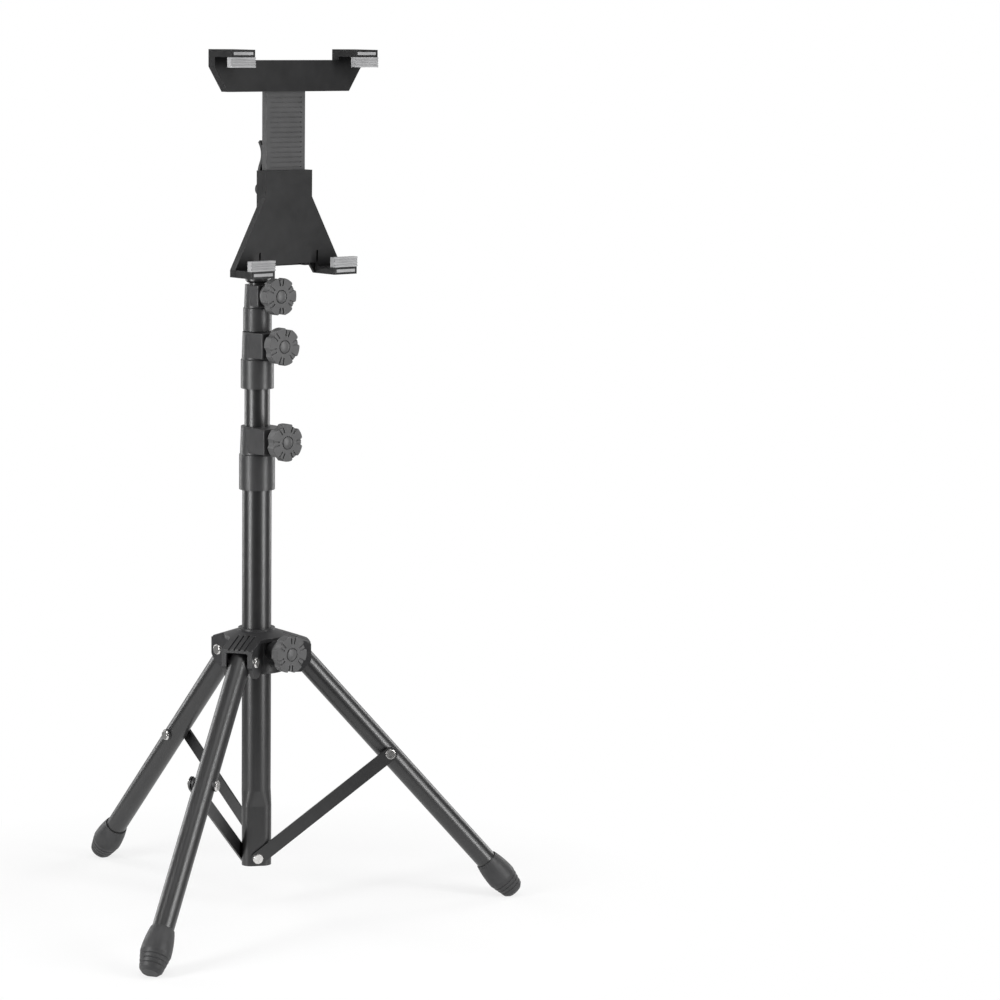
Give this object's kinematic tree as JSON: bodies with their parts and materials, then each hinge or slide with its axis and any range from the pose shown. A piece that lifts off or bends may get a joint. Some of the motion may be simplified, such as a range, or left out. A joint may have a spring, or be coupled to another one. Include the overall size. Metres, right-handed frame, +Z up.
{
  "type": "adjustable tablet floor stand",
  "caption": "Telescopic floor stand on a folding tripod, with a ball-jointed holder that grips a tablet between a hooked lower jaw and a sliding upper jaw.",
  "frame": {"origin": "on the floor, under the column's axis, with the tripod open", "axes": "+Z up along the column; the holder's front and the clamp knobs face -Y; +X to the right as seen from behind the holder; the rear leg points along +Y"},
  "size_m": [0.3598, 0.3139, 0.6463],
  "materials": {
    "tube_black": "semi-gloss black powder coat on steel tube",
    "plastic_black": "satin moulded black plastic",
    "glide_plastic": "smooth sliding plastic",
    "insert_brass": "turned brass",
    "bright_steel": "bright nickel-plated steel",
    "socket_metal": "satin die-cast metal",
    "boot_rubber": "soft dark rubber",
    "pad_rubber": "light grey ribbed rubber"
  },
  "bodies": {
    "column": {"main_tube": "tube_black", "column_rivets": "bright_steel", "lower_collar": "plastic_black", "lower_collar_nut": "insert_brass"},
    "lower_knob_body": {"lower_knob": "plastic_black", "lower_knob_screw": "bright_steel", "lower_knob_cap": "plastic_black"},
    "crown_body": {"crown": "plastic_black", "crown_sleeve": "plastic_black", "crown_nut": "insert_brass", "crown_rivets": "bright_steel"},
    "crown_knob_body": {"crown_knob": "plastic_black", "crown_knob_screw": "bright_steel", "crown_knob_cap": "plastic_black"},
    "front_right_leg_body": {"front_right_leg": "tube_black", "front_right_boot": "boot_rubber", "front_right_leg_rivet": "bright_steel", "front_right_leg_spacers": "plastic_black"},
    "rear_leg_body": {"rear_leg": "tube_black", "rear_boot": "boot_rubber", "rear_leg_rivet": "bright_steel", "rear_leg_spacers": "plastic_black"},
    "front_left_leg_body": {"front_left_leg": "tube_black", "front_left_boot": "boot_rubber", "front_left_leg_rivet": "bright_steel", "front_left_leg_spacers": "plastic_black"},
    "front_right_brace_body": {"front_right_brace": "tube_black", "front_right_brace_rivet": "bright_steel"},
    "rear_brace_body": {"rear_brace": "tube_black", "rear_brace_rivet": "bright_steel"},
    "front_left_brace_body": {"front_left_brace": "tube_black", "front_left_brace_rivet": "bright_steel"},
    "middle_body": {"middle_tube": "tube_black", "middle_tube_glide": "glide_plastic", "middle_collar": "plastic_black", "middle_collar_nut": "insert_brass"},
    "middle_knob_body": {"middle_knob": "plastic_black", "middle_knob_screw": "bright_steel", "middle_knob_cap": "plastic_black"},
    "inner_body": {"inner_tube": "tube_black", "inner_tube_glide": "glide_plastic", "upper_collar": "plastic_black", "upper_collar_nut": "insert_brass"},
    "upper_knob_body": {"upper_knob": "plastic_black", "upper_knob_screw": "bright_steel", "upper_knob_cap": "plastic_black"},
    "rod_body": {"top_rod": "tube_black", "top_rod_glide": "glide_plastic"},
    "adapter_body": {"rod_adapter": "tube_black", "adapter_screw": "tube_black", "ball_stud": "tube_black"},
    "ball_nut_body": {"ball_nut": "plastic_black"},
    "holder_body": {"socket_plate": "socket_metal", "lower_jaw": "plastic_black", "jaw_housing": "plastic_black", "lower_pads": "pad_rubber", "lever_pin": "bright_steel"},
    "arm_body": {"upper_jaw": "plastic_black", "upper_pads": "pad_rubber"},
    "lever_body": {"cam_lever": "plastic_black"}
  },
  "joints": [
    {"name": "crown_slide", "type": "slide", "parent": "column", "child": "crown_body", "axis": [0, 0, 1], "range_m": [0, 0.07186]},
    {"name": "front_right_leg_fold", "type": "hinge", "parent": "crown_body", "child": "front_right_leg_body", "pos_m": [0.02771, -0.016, 0.1955], "axis": [0.5, 0.866, 0], "range_deg": [0, 41.45]},
    {"name": "rear_leg_fold", "type": "hinge", "parent": "crown_body", "child": "rear_leg_body", "pos_m": [0, 0.032, 0.1955], "axis": [-1, 0, 0], "range_deg": [0, 41.45]},
    {"name": "front_left_leg_fold", "type": "hinge", "parent": "crown_body", "child": "front_left_leg_body", "pos_m": [-0.02771, -0.016, 0.1955], "axis": [0.5, -0.866, 0], "range_deg": [0, 41.45]},
    {"name": "front_right_brace_fold", "type": "hinge", "parent": "column", "child": "front_right_brace_body", "pos_m": [0, 0, 0.04], "axis": [-0.5, -0.866, 0], "range_deg": [0, 38.1]},
    {"name": "rear_brace_fold", "type": "hinge", "parent": "column", "child": "rear_brace_body", "pos_m": [0, 0, 0.04], "axis": [1, 0, 0], "range_deg": [0, 38.1]},
    {"name": "front_left_brace_fold", "type": "hinge", "parent": "column", "child": "front_left_brace_body", "pos_m": [0, 0, 0.04], "axis": [-0.5, 0.866, 0], "range_deg": [0, 38.1]},
    {"name": "crown_knob_turn", "type": "hinge", "parent": "crown_body", "child": "crown_knob_body", "pos_m": [0, 0, 0.2012], "axis": [0, -1, 0], "range_deg": [0, 360]},
    {"name": "lower_knob_turn", "type": "hinge", "parent": "column", "child": "lower_knob_body", "pos_m": [0, 0, 0.359], "axis": [0, -1, 0], "range_deg": [0, 360]},
    {"name": "middle_knob_turn", "type": "hinge", "parent": "middle_body", "child": "middle_knob_body", "pos_m": [0, 0, 0.4296], "axis": [0, -1, 0], "range_deg": [0, 360]},
    {"name": "upper_knob_turn", "type": "hinge", "parent": "inner_body", "child": "upper_knob_body", "pos_m": [0, 0, 0.4662], "axis": [0, -1, 0], "range_deg": [0, 360]},
    {"name": "middle_tube_slide", "type": "slide", "parent": "column", "child": "middle_body", "axis": [0, 0, 1], "range_m": [-0.028, 0.17]},
    {"name": "inner_tube_slide", "type": "slide", "parent": "middle_body", "child": "inner_body", "axis": [0, 0, 1], "range_m": [0, 0.21]},
    {"name": "top_rod_slide", "type": "slide", "parent": "inner_body", "child": "rod_body", "axis": [0, 0, 1], "range_m": [0, 0.23]},
    {"name": "head_pan", "type": "hinge", "parent": "rod_body", "child": "adapter_body", "pos_m": [0, 0, 0.484], "axis": [0, 0, 1], "range_deg": [-180, 180]},
    {"name": "ball_tilt", "type": "hinge", "parent": "adapter_body", "child": "ball_nut_body", "pos_m": [0, -0.016, 0.51], "axis": [1, 0, 0], "range_deg": [-25, 25]},
    {"name": "holder_roll", "type": "hinge", "parent": "ball_nut_body", "child": "holder_body", "pos_m": [0, -0.016, 0.51], "axis": [0, 1, 0], "range_deg": [-90, 90]},
    {"name": "arm_slide", "type": "slide", "parent": "holder_body", "child": "arm_body", "axis": [0, 0, 1], "range_m": [-0.022, 0.036]},
    {"name": "lever_turn", "type": "hinge", "parent": "holder_body", "child": "lever_body", "pos_m": [0, -0.0213, 0.545], "axis": [-1, 0, 0], "range_deg": [0, 100]}
  ],
  "couplings": [
    {"joint": "front_right_leg_fold", "follows": "crown_slide", "rad_per_m": 10.041},
    {"joint": "rear_leg_fold", "follows": "crown_slide", "rad_per_m": 10.041},
    {"joint": "front_left_leg_fold", "follows": "crown_slide", "rad_per_m": 10.041},
    {"joint": "front_right_brace_fold", "follows": "crown_slide", "rad_per_m": 9.228},
    {"joint": "rear_brace_fold", "follows": "crown_slide", "rad_per_m": 9.228},
    {"joint": "front_left_brace_fold", "follows": "crown_slide", "rad_per_m": 9.228}
  ]
}
